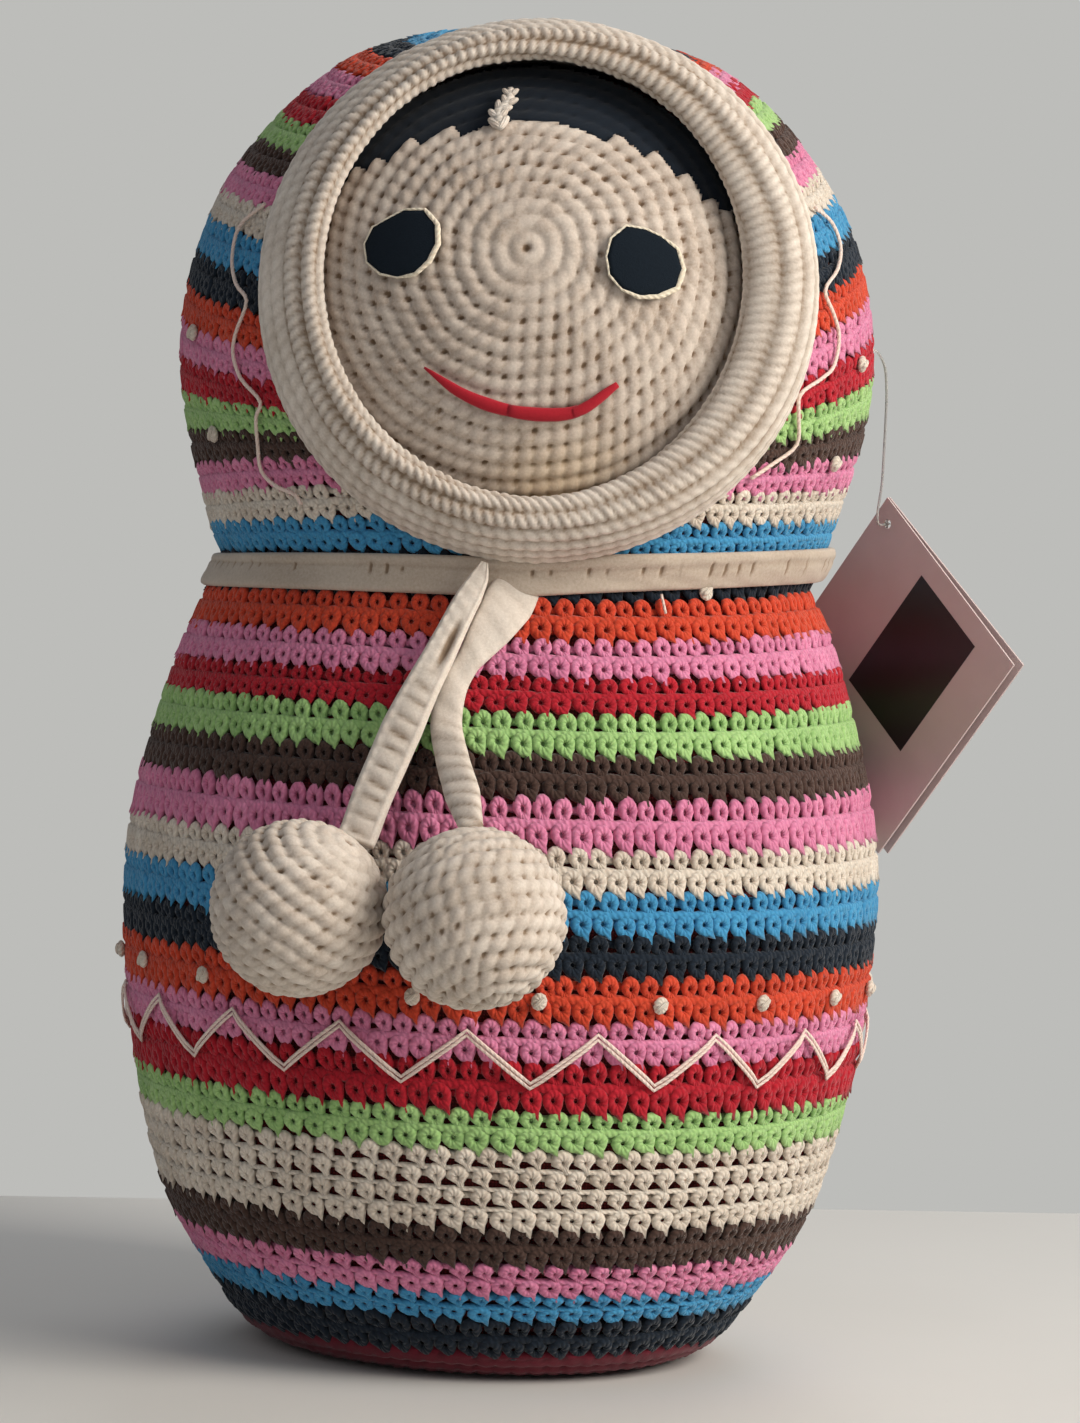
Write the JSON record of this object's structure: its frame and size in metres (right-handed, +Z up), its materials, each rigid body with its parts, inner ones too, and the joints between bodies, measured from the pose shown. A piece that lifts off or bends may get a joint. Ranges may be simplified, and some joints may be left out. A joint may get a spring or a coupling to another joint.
{
  "type": "crocheted nesting-doll soft toy",
  "caption": "Stuffed crochet doll of nesting-doll shape with striped cover, hooded round face, neck ties ending in balls and a folded swing tag; stands on a flat base.",
  "frame": {"origin": "centre of the flat base, on the surface that the doll stands on", "axes": "+Z up, the face looks along -Y, +X to the right of someone facing the doll"},
  "size_m": [0.2287, 0.2389, 0.3401],
  "materials": {
    "yarn_cream": "matte",
    "yarn_navy": "matte",
    "yarn_blue": "matte",
    "yarn_pink": "matte",
    "yarn_brown": "matte",
    "yarn_green": "matte",
    "yarn_red": "matte",
    "yarn_orange": "matte",
    "yarn_dark_red": "matte",
    "cotton_red": "matte",
    "fibre_white": "matte",
    "felt_navy": "matte",
    "card": "satin",
    "nylon": "gloss"
  },
  "bodies": {
    "doll": {"base_disc": "yarn_dark_red", "body_lining": "cotton_red", "body_stripe_01_navy": "yarn_navy", "body_stripe_02_blue": "yarn_blue", "body_stripe_03_pink": "yarn_pink", "body_stripe_04_brown": "yarn_brown", "body_stripe_05_cream": "yarn_cream", "body_stripe_06_green": "yarn_green", "body_stripe_07_red": "yarn_red", "body_stripe_08_pink": "yarn_pink", "body_stripe_09_orange": "yarn_orange", "body_stripe_10_navy": "yarn_navy", "body_stripe_11_blue": "yarn_blue", "body_stripe_12_cream": "yarn_cream", "body_stripe_13_pink": "yarn_pink", "body_stripe_14_brown": "yarn_brown", "body_stripe_15_green": "yarn_green", "body_stripe_16_red": "yarn_red", "body_stripe_17_pink": "yarn_pink", "body_stripe_18_orange": "yarn_orange", "body_stripe_19_navy": "yarn_navy", "body_stuffing": "fibre_white", "eye_left": "felt_navy", "eye_right": "felt_navy", "face": "yarn_cream", "forelock": "yarn_cream", "hair": "yarn_navy", "head_lining": "cotton_red", "head_stuffing": "fibre_white", "hood_brim": "yarn_cream", "hood_crown": "yarn_blue", "hood_stripe_01_blue": "yarn_blue", "hood_stripe_02_cream": "yarn_cream", "hood_stripe_03_pink": "yarn_pink", "hood_stripe_04_brown": "yarn_brown", "hood_stripe_05_green": "yarn_green", "hood_stripe_06_red": "yarn_red", "hood_stripe_07_pink": "yarn_pink", "hood_stripe_08_orange": "yarn_orange", "hood_stripe_09_navy": "yarn_navy", "hood_stripe_10_blue": "yarn_blue", "hood_stripe_11_cream": "yarn_cream", "hood_stripe_12_pink": "yarn_pink", "hood_stripe_13_brown": "yarn_brown", "hood_stripe_14_green": "yarn_green", "hood_stripe_15_red": "yarn_red", "hood_stripe_16_pink": "yarn_pink", "hood_stripe_17_orange": "yarn_orange", "mouth": "yarn_red", "neck_strap": "yarn_cream", "skirt_zigzag": "yarn_cream"},
    "right_tie": {"tie_right": "yarn_cream", "ball_right": "yarn_cream", "ball_right_stuffing": "fibre_white"},
    "left_tie": {"tie_left": "yarn_cream", "ball_left": "yarn_cream", "ball_left_stuffing": "fibre_white"},
    "tag": {"tag_thread": "nylon", "tag_front_leaf": "card"},
    "tag_flap": {"tag_back_leaf": "card"}
  },
  "joints": [
    {"name": "right_tie_swing", "type": "hinge", "parent": "doll", "child": "right_tie", "pos_m": [0, -0.0808, 0.2015], "axis": [-1, 0, 0], "range_deg": [0, 45]},
    {"name": "left_tie_swing", "type": "hinge", "parent": "right_tie", "child": "left_tie", "pos_m": [0, -0.0845, 0.1995], "axis": [-0.9854, 0.17, 0], "range_deg": [0, 25]},
    {"name": "tag_swing", "type": "hinge", "parent": "doll", "child": "tag", "pos_m": [0.08674, 0.02438, 0.2615], "axis": [0.66, -0.7513, 0], "range_deg": [0, 50]},
    {"name": "tag_flap_open", "type": "hinge", "parent": "tag", "child": "tag_flap", "pos_m": [0.09714, 0.02943, 0.2237], "axis": [0.4301, -0.4901, 0.7582], "range_deg": [0, 25]}
  ]
}
